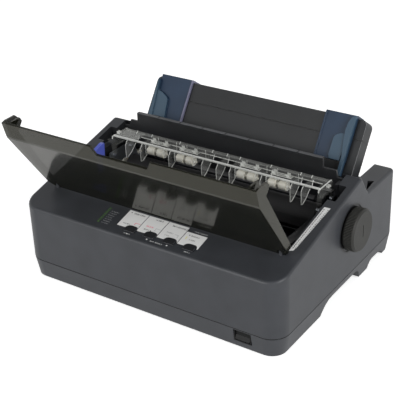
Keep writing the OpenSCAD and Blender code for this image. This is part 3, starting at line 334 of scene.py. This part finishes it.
# ---- Shafts ----
# Ground and polished steel bars in the frame's side plates: the platen's shaft and the carriage's rail.
# They mirror in soft streaks.
ground_steel = metal("ground_steel", "#c4c7cb", "#aeb2b6", 0.4, 1.0, 0.2)
coat(ground_steel, "platen_shaft", "carriage_shaft")
# the two tractor bars are blacked in hot oil, which leaves them dark and half bright
blacked_steel = metal("blacked_steel", "#2c2d30", "#1e1f21", 1.5, 1.0, 0.4)
coat(blacked_steel, "tractor_shaft", "tractor_rod")


# ---- Platen ----
# A ground rubber sleeve on an aluminium tube. The rubber is dark, dead matt, with a very fine grinding lay.
# The turned aluminium is pale and softly bright.
platen_sleeve = moulded("platen_sleeve", "#1a1a1b", "#252526", 0.7, 0.05, 0.7, edge_mm=0.4)
coat(platen_sleeve, "platen_rubber")
turned_aluminium = metal("turned_aluminium", "#c3c5c8", "#a6a9ad", 0.5, 1.0, 0.32)
coat(turned_aluminium, "platen_core", "idler_pulley")


# ---- Knob ----
# A hollow ABS moulding pressed on the platen's shaft, with a fluted grip and a plain face. It is matt; its
# crests carry a painted highlight, and the bottoms of the flutes painted shade.
def flute_and_neck_shade(tree, place, tone):
    """Painted shade in the bottoms of the flutes and on the neck that turns inside the case, and a painted
    highlight on the crests.
    """
    flute_floor, flute_crest, grip_end = 0.0248, 0.0252, 0.1858
    neck_start, neck_end = 0.1752, 0.1766
    depth = add(tree, "MapRange", {"Value": from_knob(tree, place), "From Min": flute_floor,
                                   "From Max": flute_crest, "To Min": 0.25, "To Max": 1.7}).outputs[0]
    out = add(tree, "SeparateXYZ", {"Vector": place}).outputs["X"]
    grip = add(tree, "Math", {0: out, 1: grip_end}, operation="LESS_THAN").outputs[0]
    neck = add(tree, "MapRange", {"Value": out, "From Min": neck_start, "From Max": neck_end,
                                  "To Min": 0.08, "To Max": 1.0}).outputs[0]
    tone = shaded(tree, tone, grip, depth)
    return add(tree, "VectorMath", {0: tone, "Scale": neck}, operation="SCALE").outputs[0]


knob_abs = moulded("knob_abs", "#31312f", "#444441", 0.8, 0.06, 0.55, specular=0.2, tint=flute_and_neck_shade)
coat(knob_abs, "platen_knob")


# ---- Dark inner mouldings ----
# Glass-filled plastic of the paper pan, tractors, carriage, cartridge, release lever and power inlet.
# It is dark and satin.
inner_plastic = moulded("inner_plastic", "#1b1c1f", "#2c2d31", 0.9, 0.05, 0.42)
coat(inner_plastic, "paper_pan", "tractor_left", "tractor_right", "tractor_flap_left",
     "tractor_flap_right", "carriage", "ribbon_cartridge", "release_lever", "power_inlet")


# ---- Paper divider ----
# A moulded wall between the two paper paths, dark and satin. Its top lip is cut into eight lengths; it is
# painted pale as a highlight, and the cuts between the lengths are darkened with painted shade.
def lip_highlight_and_cut_shade(tree, place, tone):
    """Painted highlight on the lip, and painted shade in the cuts between its lengths."""
    lip_start, lip_pitch, lip_foot, cut_half = -0.1335, 0.032625, 0.1530, 0.0007
    spot = add(tree, "SeparateXYZ", {"Vector": place})
    lip = add(tree, "Math", {0: spot.outputs["Z"], 1: lip_foot}, operation="GREATER_THAN").outputs[0]
    step = add(tree, "Math", {0: spot.outputs["X"], 1: lip_start - lip_pitch / 2},
               operation="SUBTRACT").outputs[0]
    step = add(tree, "Math", {0: step, 1: lip_pitch}, operation="FLOORED_MODULO").outputs[0]
    cut = add(tree, "Math", {0: step, 1: lip_pitch / 2, 2: cut_half}, operation="COMPARE").outputs[0]
    cut = add(tree, "Math", {0: cut, 1: lip}, operation="MULTIPLY").outputs[0]
    shade = add(tree, "Mix", {"Factor": lip, "A": 1.0, "B": 3.4}, data_type="FLOAT").outputs["Result"]
    shade = add(tree, "Mix", {"Factor": cut, "A": shade, "B": 0.2}, data_type="FLOAT").outputs["Result"]
    return add(tree, "VectorMath", {0: tone, "Scale": shade}, operation="SCALE").outputs[0]


divider_plastic = moulded("divider_plastic", "#1b1c1e", "#3a3b3d", 0.9, 0.05, 0.42, edge_mm=0.8,
                          tint=lip_highlight_and_cut_shade)
coat(divider_plastic, "paper_divider")


# ---- Power switch ----
# A rocker of polished black nylon in a black housing, clipped into the lower case below the panel.
# It is nearly black, and its rounded edges catch a thin light.
switch_black = moulded("switch_black", "#0a0b0b", "#1b1c1c", 0.8, 0.02, 0.35, edge_mm=0.3, specular=0.16)
coat(switch_black, "switch_housing", "power_rocker")


# ---- Print head and belt ----
# A finned die casting on the carriage, blackened to shed heat. The toothed neoprene belt behind it pulls
# the carriage, and is dull black.
head_casting = metal("head_casting", "#4c4e52", "#36383b", 1.0, 1.0, 0.45)
coat(head_casting, "print_head")
belt_rubber = moulded("belt_rubber", "#111112", "#1a1a1b", 1.2, 0.1, 0.7, edge_mm=0.2)
coat(belt_rubber, "timing_belt")


# ---- Ribbon ----
# Woven nylon soaked in ink, drawn out of the cartridge across the front of the platen. It is black with a
# slight sheen.
def inked_nylon():
    thread_mm = 0.34907
    made, tree = material("inked_nylon")
    place = add(tree, "TexCoord").outputs["Object"]
    # a wave repeats every tenth of pi at a scale of 1
    warp, weft = (add(tree, "TexWave", {"Vector": place, "Scale": 100 * math.pi / thread_mm},
                      wave_type="BANDS", bands_direction=way).outputs["Fac"] for way in "XZ")
    weave = add(tree, "Math", {0: warp, 1: weft}, operation="MULTIPLY").outputs[0]
    raised = add(tree, "Bump", {"Strength": 0.4, "Distance": 0.0001, "Height": weave}).outputs[0]
    close(tree, Base_Color=linear("#0b0b0d"), Roughness=0.55, Sheen_Weight=0.2, Normal=raised)
    return made


coat(inked_nylon(), "ribbon")


# ---- Levers and ribbon knob ----
# The parts a hand should find are moulded in violet blue ABS with a satin face. The lever turns on the
# frame, and the knob stands on the cartridge.
marker_blue = moulded("marker_blue", "#4f5cb6", "#6d78cf", 0.8, 0.04, 0.4)
coat(marker_blue, "thickness_lever", "ribbon_knob")


# ---- Tension unit ----
# Clear styrene, moulded in one piece with its paper blades. The flat faces are nearly invisible; the thin
# edges gather the light that runs inside the sheet and look white. The rollers are waxy grey acetal.
def clear_styrene():
    lip_rear, rear_strip, end_plate = 0.0062, 0.0285, 0.1415
    leg_top, plate_top, closed_end, cloud_mm = 0.1318, 0.1348, -0.112, 8.3333
    made, tree = material("clear_styrene")
    place = add(tree, "TexCoord").outputs["Object"]
    facing = add(tree, "SeparateXYZ", {"Vector": add(tree, "NewGeometry").outputs["Normal"]}).outputs
    spot = add(tree, "SeparateXYZ", {"Vector": place}).outputs
    across, upward, outward = (add(tree, "Math", {0: value}, operation="ABSOLUTE").outputs[0]
                               for value in (facing["X"], facing["Z"], spot["X"]))
    plate = ((upward, "GREATER_THAN", 0.95), (spot["Y"], "GREATER_THAN", lip_rear))
    end = (outward, "GREATER_THAN", end_plate)
    see = 0.85
    # how opaque each kind of face is, and the tests that find it: blades, plate, rear strip, legs, top edges
    # of the end plates, and the closed plate at the left end
    for opacity, tests in ((0.07, ((across, "GREATER_THAN", 0.9),)), (0.06, plate),
                           (0.15, ((spot["Y"], "GREATER_THAN", rear_strip),)),
                           (0.04, (end, (spot["Z"], "LESS_THAN", leg_top))),
                           (0.9, (end, (spot["Z"], "GREATER_THAN", plate_top))),
                           (0.2, ((spot["X"], "LESS_THAN", closed_end), *plate))):
        here = 1.0
        for value, kind, limit in tests:
            passed = add(tree, "Math", {0: value, 1: limit}, operation=kind).outputs[0]
            here = add(tree, "Math", {0: passed, 1: here}, operation="MULTIPLY").outputs[0]
        see = add(tree, "Mix", {"Factor": here, "A": see, "B": opacity}, data_type="FLOAT").outputs["Result"]
    tone = clouded(tree, place, cloud_mm, 3.0, "#c4c6c1", "#e0e1dd")
    close(tree, Base_Color=tone, Roughness=0.1, IOR=1.59, Alpha=see)
    return made


coat(clear_styrene(), "tension_unit")
roller_acetal = acetal("roller_acetal", "#cfcdc3", "#bdbbb0")
coat(roller_acetal, "rollers_one", "rollers_two", "rollers_three", "rollers_four")


# ---- Sheet guide ----
# The folding tray is a dark matt ABS moulding with a shallow groove, darkened with painted shade; its pale
# edges are a painted highlight. It leans back on two pivots in the case.
tray_lean = math.radians(55.3)
up_tray = (0, math.cos(tray_lean), math.sin(tray_lean))
off_tray = (0, -math.sin(tray_lean), math.cos(tray_lean))
# painted shade in the groove, and a painted highlight in the pale edge colour
tray_abs = moulded("tray_abs", "#191b1d", "#848688", 0.9, 0.08, 0.46, edge_mm=1.0, specular=0.4,
                   groove=(up_tray, 183.7, 1.1))
coat(tray_abs, "sheet_guide")


# ---- Edge guides ----
# Two slate blue slides hooked over the tray's top edge, moved by hand to the width of the paper.
# They are satin ABS.
def pads_and_rib(tree, place, tone):
    """Colours the thumb pads a paler grey blue, and the inner rib of the left guide a pale lilac grey."""
    pad_foot, pad_top, rib_inset_mm, rib_half_mm = 0.0148, 0.0155, 1.0, 1.2
    height = add(tree, "VectorMath", {0: place, 1: off_tray}, operation="DOT_PRODUCT").outputs["Value"]
    pad = add(tree, "MapRange", {"Value": height, "From Min": pad_foot, "From Max": pad_top}).outputs[0]
    tone = mixed(tree, pad, tone, "#33495a")
    inner_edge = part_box("edge_guide_left")[1][0] * 1000
    inner = within(tree, place, (1, 0, 0), inner_edge - rib_inset_mm, rib_half_mm)
    return mixed(tree, inner, tone, "#6a6a80")


slate_blue = moulded("slate_blue", "#182c42", "#26394f", 0.9, 0.08, 0.44, edge_mm=0.6, specular=0.38,
                     tint=pads_and_rib)
coat(slate_blue, "edge_guide_left", "edge_guide_right")


# ---- Control panel ----
# Four push buttons in dark satin plastic whose rims are painted lighter as a highlight, eight light pipes of
# green-tinted clear acrylic, and label cards of white printed film, seated flush in the case.
button_plastic = moulded("button_plastic", "#1d1e21", "#5c5e63", 0.8, 0.04, 0.45, edge_mm=0.7)
coat(button_plastic, "button_one", "button_two", "button_three", "button_four")
card_film = moulded("card_film", "#d9d9d8", "#e2e2e1", 2.0, 0.02, 0.4, edge_mm=0.2, mottle=0.04)
coat(card_film, "panel_cards")


def light_pipe():
    cloud_mm = 3.3333
    made, tree = material("light_pipe")
    place = add(tree, "TexCoord").outputs["Object"]
    close(tree, Base_Color=clouded(tree, place, cloud_mm, 2.0, "#38522f", "#4f6b42"), Roughness=0.25,
          IOR=1.49)
    return made


coat(light_pipe(), "indicator_lights")


# ---- Printing on the panel and the cards ----
# Screen-printed ink, flat and patchy: a short row of marks beside each light, above and below the buttons
# and on the cards. The rows stand for small print; they are strokes of random width and hold no letters.
def printed_ink(name, colour):
    patch_mm = 0.4
    made, tree = material(name)
    place = add(tree, "TexCoord").outputs["Object"]
    patchy = add(tree, "TexNoise", {"Vector": place, "Scale": 1000 / patch_mm, "Detail": 1.0}).outputs["Fac"]
    gloss = add(tree, "MapRange", {"Value": patchy, "To Min": 0.4, "To Max": 0.6}).outputs[0]
    close(tree, Base_Color=linear(colour), Roughness=gloss)
    return made


inks = [printed_ink(*ink) for ink in (
    ("white_ink", "#c9cac9"), ("black_ink", "#1c1d20"), ("red_ink", "#e0637a"), ("yellow_ink", "#d8d34a"),
    ("grey_ink", "#8f9092"))]
WHITE, BLACK, RED, YELLOW, GREY = range(5)


def on_panel(x, s, h):
    """A place on the sloped panel in mm: across, up the slope, and out of it."""
    s, h = s / 1000, h / 1000
    return (x / 1000, -half_depth + s * math.cos(panel_slope) - h * math.sin(panel_slope),
            front_height + s * math.sin(panel_slope) + h * math.cos(panel_slope))


ink_form = bmesh.new()


def layer(corners, low, high, ink):
    """A closed flat shape of ink between two heights above the panel."""
    below = [ink_form.verts.new(on_panel(x, s, low)) for x, s in corners]
    above = [ink_form.verts.new(on_panel(x, s, high)) for x, s in corners]
    faces = [ink_form.faces.new(above), ink_form.faces.new(below[::-1])]
    for i in range(len(corners)):
        k = (i + 1) % len(corners)
        faces.append(ink_form.faces.new((below[i], below[k], above[k], above[i])))
    for face in faces:
        face.material_index = ink


def patch(x0, s0, x1, s1, ink, out=0.0):
    """A thin rectangle of ink; out is the height of what it is printed on."""
    layer([(x0, s0), (x1, s0), (x1, s1), (x0, s1)], out + 0.01, out + 0.06, ink)


strokes = random.Random(7)


def small_print(x0, x1, s, tall, ink, out=0.0):
    """A row of strokes and crossbars from x0 to x1, as small print looks from arm's length."""
    fine, bold = 0.34, 0.46
    x = x0
    while x < x1:
        wide = strokes.choice((0.9, 1.1, 1.4))
        patch(x, s, x + (fine if ink == WHITE else bold), s + tall, ink, out)
        if strokes.random() < 0.6:
            bar = s + tall * strokes.choice((0.0, 0.42, 0.8))
            patch(x + fine, bar, x + wide - 0.3, s + tall * 0.2 + tall * 0.4, ink, out)
        x += wide + (0.9 if strokes.random() < 0.2 else 0.2)


for row in range(7):
    small_print(-62.4, -52.5 + strokes.uniform(-2.5, 1.5), 10.9 + row * 3.35, 1.1, GREY)
for x0, x1, s in ((-27, -18.4, 5.6), (8.4, 25.2, 5.8), (53, 60.4, 6.2), (47, 64, 37.6)):
    small_print(x0, x1, s, 1.6, WHITE)
card_top = 0.1
for x0, x1, s, tall, ink in (
        (-34.6, -20, 36.9, 2.1, BLACK), (-37.6, -28.6, 19.4, 1.7, BLACK), (-4.6, 5.6, 37.3, 2.0, BLACK),
        (-9.4, -1, 24.6, 2.2, RED), (-9.4, -0.6, 19.6, 1.8, BLACK), (18.6, 37, 36.2, 2.2, BLACK),
        (17.8, 26.6, 25.4, 1.8, GREY), (18.2, 24, 20.4, 1.7, GREY), (47, 57, 29.9, 2.0, BLACK),
        (48, 54.8, 24, 1.9, BLACK)):
    small_print(x0, x1, s, tall, ink, card_top)
for x0, s0, x1, s1, ink in (
        (-23.4, 24.4, -17.1, 24.9, RED), (-24.0, 21.4, -23.4, 24.9, RED), (3.4, 25.6, 10.4, 26.0, GREY),
        (3.4, 22.0, 3.8, 25.6, GREY), (28.6, 25.6, 33.8, 26.0, GREY), (33.4, 21.6, 33.8, 25.6, GREY),
        (42.8, 24.4, 43.6, 28.2, YELLOW)):
    patch(x0, s0, x1, s1, ink, card_top)


def dot(x, s, size, ink, out=0.0):
    """A round printed dot: a thin disc of ink with twelve sides."""
    turns = [a * math.pi / 6 for a in range(12)]
    ring = [(x + size * math.cos(turn), s + size * math.sin(turn)) for turn in turns]
    layer(ring, out + 0.01, out + 0.05, ink)


for x, s, size, ink, out in (
        (3.4, 7.3, 1.0, WHITE, 0), (30.1, 7.3, 1.0, WHITE, 0), (-38.4, 38.2, 0.75, BLACK, card_top),
        (44.6, 31.2, 0.75, BLACK, card_top)):
    dot(x, s, size, ink, out)
# a dashed line and a scale run along the strip on the right rim, which widens to the rear
strip_x, strip_low, strip_high, strip_top, dashes = 155.0, 56.0, 125.0, 0.16, 24
for i in range(dashes):
    at = strip_low + i * (strip_high - strip_low) / dashes
    near = strip_x + 1.0 + (at - 50.8) * 0.0262
    far = strip_x + 6.2 + (at - 59.1) * 0.0614
    patch(near + 1.4, at, near + 2.3, at + strokes.choice((1.2, 1.5, 1.9)), BLACK, strip_top)
    tick = 1.6 if i > 9 else 0.9
    patch(far - tick, at + 0.8, far - 0.15, at + 0.8 + strokes.choice((0.6, 0.9, 1.2)), BLACK, strip_top)


def built(name, form, finishes):
    """Turns a form into a piece; its faces' numbers count through the finishes."""
    bmesh.ops.recalc_face_normals(form, faces=form.faces)
    mesh = bpy.data.meshes.new(name)
    form.to_mesh(mesh)
    form.free()
    for made in finishes:
        mesh.materials.append(made)
    return placed(name, mesh)


panel_print = built("panel_print", ink_form, inks)
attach(panel_print, "base")


# ---- Sockets in the rear ----
# A wide ribbon socket, a nine-pin socket and a square serial socket, soldered to the main board. Each is a
# tinned steel shell, pressed from sheet, round a dark dull insulator that carries bright gilt contacts.
insulator = moulded("insulator", "#17181a", "#232427", 0.8, 0.03, 0.5, edge_mm=0.2)
gilt = metal("gilt_contact", "#d8b765", "#b8974a", 0.5, 1.0, 0.25)
socket_form = bmesh.new()
SHELL, DARK, GILT = range(3)


def outline(half_wide, half_tall, slant, radius, turns=5):
    """A rounded trapezium, wider at the top by slant on each side, as a loop of points."""
    corners = [(-half_wide + slant, -half_tall), (half_wide - slant, -half_tall),
               (half_wide, half_tall), (-half_wide, half_tall)]
    loop = []
    for i, (x, z) in enumerate(corners):
        cx = x - math.copysign(radius, x)
        cz = z - math.copysign(radius, z)
        for k in range(turns + 1):
            turn = math.radians(90 * i - 180 + 90 * k / turns)
            loop.append((cx + radius * math.cos(turn), cz + radius * math.sin(turn)))
    return loop


def tube(x, z, outer, inner, y0, y1):
    """A ring of shell round a socket, from y0 back to y1."""
    loops = [[socket_form.verts.new(((x + px) / 1000, y / 1000, (z + pz) / 1000)) for px, pz in loop]
             for loop, y in ((outer, y0), (outer, y1), (inner, y1), (inner, y0))]
    count = len(outer)
    for a, b in ((0, 1), (1, 2), (2, 3), (3, 0)):
        for i in range(count):
            k = (i + 1) % count
            ring = (loops[a][i], loops[a][k], loops[b][k], loops[b][i])
            socket_form.faces.new(ring).material_index = SHELL


def plug_body(x, z, loop, y0, y1, finish):
    """A solid prism with the given outline."""
    near, far = ([socket_form.verts.new(((x + px) / 1000, y / 1000, (z + pz) / 1000)) for px, pz in loop]
                 for y in (y0, y1))
    socket_form.faces.new(near).material_index = finish
    socket_form.faces.new(far[::-1]).material_index = finish
    for i in range(len(loop)):
        k = (i + 1) % len(loop)
        socket_form.faces.new((near[i], far[i], far[k], near[k])).material_index = finish


rear_face, socket_back, board_top = 137.5, 118.0, 10.6
block_face, flange_face, shroud_foot = rear_face - 4.2, rear_face - 3.4, rear_face - 3.8
contact_foot, contact_tip, post_foot = rear_face - 4.4, rear_face - 1.2, rear_face - 3.6
for x, wide, tall, kind in ((78, 66, 13.4, "ribbon"), (27, 31, 11, "nine"), (-4, 12, 11, "square")):
    z = board_top + tall / 2
    plate = outline(wide / 2, tall / 2, 0, 1.0)
    plug_body(x, z, plate, socket_back, block_face, DARK)
    if kind == "ribbon":
        mouth = outline(26, 4.4, 1.2, 1.6)
        tube(x, z, plate, mouth, block_face, flange_face)
        tube(x, z, outline(26.5, 4.9, 1.2, 1.8), mouth, shroud_foot, rear_face - 0.6)
        plug_body(x, z, outline(23.4, 1.4, 0, 0.4), contact_foot, rear_face - 0.9, DARK)
        blade = outline(0.5, 0.18, 0, 0.08, 1)
        for i in range(18):
            for side in (-1, 1):
                plug_body(x - 18.4 + i * 2.16, z + side * 1.5, blade, contact_foot, contact_tip, GILT)
        for side in (-1, 1):
            tube(x + side * 29.6, z, outline(1.8, 3.6, 0, 0.8), outline(1.1, 2.8, 0, 0.5), post_foot,
                 rear_face - 1.8)
    elif kind == "nine":
        mouth = outline(8.2, 3.9, 1.0, 1.6)
        tube(x, z, plate, mouth, block_face, flange_face)
        tube(x, z, outline(8.7, 4.4, 1.0, 1.9), mouth, shroud_foot, rear_face - 0.4)
        pin = outline(0.5, 0.5, 0, 0.45, 3)
        for i in range(9):
            px, pz = (-5.5 + i * 2.75, 1.4) if i < 5 else (-4.1 + (i - 5) * 2.75, -1.4)
            plug_body(x + px, z + pz, pin, contact_foot, contact_tip, GILT)
        for side in (-1, 1):
            tube(x + side * 12.4, z, outline(2.6, 2.6, 0, 1.2), outline(1.4, 1.4, 0, 1.3), post_foot,
                 rear_face - 0.6)
    else:
        tube(x, z, plate, outline(4.4, 4.1, 0, 0.8), block_face, rear_face - 1.0)
        plug_body(x, z, outline(2.6, 1.6, 0, 0.3), contact_foot, rear_face - 1.4, DARK)
rear_sockets = built("rear_sockets", socket_form, (zinc_plate, insulator, gilt))
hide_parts("interface_ports")
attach(rear_sockets, "base")


# ---- Cover ----
# A moulding of smoked acrylic, polished on both faces, with two pins that turn in the case. It darkens
# what is behind it and mirrors what is in front.
def smoked_acrylic():
    made, tree = material("smoked_acrylic")
    soft, edge = softened_edge(tree, 0.6)
    see = add(tree, "MapRange", {"Value": edge, "To Min": 0.84, "To Max": 0.95}).outputs[0]
    close(tree, Base_Color=mixed(tree, edge, "#12130d", "#090a07"), Roughness=0.14, IOR=1.49,
          Specular_IOR_Level=0.46, Specular_Tint=linear("#fffbe0"), Alpha=see, Normal=soft)
    return made


coat(smoked_acrylic(), "printer_cover")


# ---- Floor, light and camera ----
# A plain white sweep with two large soft lamps, and the camera at the photograph's angle. None of it is
# part of the printer.
def white_sweep():
    """White paper that shows brighter to the camera and in mirrors, and keeps the object's shadow."""
    made, tree = material("white_sweep")
    rays = add(tree, "LightPath").outputs
    mirrored = add(tree, "Math", {0: rays["Is Glossy Ray"], 1: rays["Is Transmission Ray"]},
                   operation="MAXIMUM").outputs[0]
    seen = add(tree, "Math", {0: rays["Is Camera Ray"], 1: mirrored}, operation="MAXIMUM").outputs[0]
    paper = add(tree, "BsdfDiffuse", {"Color": linear("#e8e8e8")})
    bright = add(tree, "MapRange", {"Value": mirrored, "To Min": 0.6, "To Max": 0.36}).outputs[0]
    glow = add(tree, "Emission", {"Color": (1, 1, 1, 1), "Strength": bright})
    lit = add(tree, "AddShader", {0: paper.outputs[0], 1: glow.outputs[0]})
    both = add(tree, "MixShader", {0: seen, 1: paper.outputs[0], 2: lit.outputs[0]})
    add(tree, "OutputMaterial", {"Surface": both.outputs[0]})
    return made


sweep_radius, sweep_sides, under_feet = 6, 64, -0.0002
turns = [a * 2 * math.pi / sweep_sides for a in range(sweep_sides)]
rim = [(sweep_radius * math.cos(turn), sweep_radius * math.sin(turn), under_feet) for turn in turns]
mesh = bpy.data.meshes.new("sweep")
mesh.from_pydata(rim, [], [list(range(sweep_sides))])
sweep = placed("sweep", mesh)
sweep.data.materials.append(white_sweep())

# the room is bright low down and dim overhead, as a studio with white walls is
bright_below, dim_above = 0.52, 0.74
world = bpy.data.worlds.new("studio")
bpy.context.scene.world = world
world.use_nodes = True
tree = world.node_tree
tree.nodes.clear()
rays = add(tree, "LightPath").outputs
height = add(tree, "SeparateXYZ", {"Vector": add(tree, "TexCoord").outputs["Generated"]}).outputs["Z"]
room = add(tree, "MapRange", {"Value": height, "From Min": bright_below, "From Max": dim_above,
                              "To Min": 0.95, "To Max": 0.15}).outputs[0]
strength = add(tree, "Mix", {"Factor": rays["Is Camera Ray"], "A": room, "B": 1.0},
               data_type="FLOAT").outputs["Result"]
sky = add(tree, "Background", {"Color": (1, 1, 1, 1), "Strength": strength})
add(tree, "OutputWorld", {"Surface": sky.outputs[0]})


def lamp(name, place, aim, size, power):
    light = bpy.data.lights.new(name, "AREA")
    light.shape = "DISK"
    light.size = size
    light.energy = power
    obj = placed(name, light)
    obj.location = place
    obj.rotation_mode = "QUATERNION"
    obj.rotation_quaternion = (Vector(aim) - Vector(place)).to_track_quat("-Z", "Y")


lamp("right_softbox", (1.6, -0.6, 0.9), (0, 0, 0.1), 1.0, 20)
lamp("front_softbox", (-0.6, -1.8, 0.9), (0, 0, 0.1), 1.0, 16)

eye = Vector((0.606468, -0.890494, 0.660064))
turn, dip, roll = math.radians(-34.906), math.radians(28.077), math.radians(-2.210)
ahead = Vector((math.sin(turn) * math.cos(dip), math.cos(turn) * math.cos(dip), -math.sin(dip)))
right = ahead.cross(Vector((0, 0, 1))).normalized()
up = right.cross(ahead)
right, up = right * math.cos(roll) + up * math.sin(roll), up * math.cos(roll) - right * math.sin(roll)
camera = placed("camera", bpy.data.cameras.new("camera"))
camera.matrix_world = Matrix((
    (right.x, up.x, -ahead.x, eye.x), (right.y, up.y, -ahead.y, eye.y), (right.z, up.z, -ahead.z, eye.z),
    (0, 0, 0, 1)))
camera.data.sensor_width = 36
camera.data.lens = 92.72
camera.data.clip_start, camera.data.clip_end = 0.05, 30
bpy.context.scene.camera = camera
bpy.context.scene.view_settings.view_transform = "Standard"
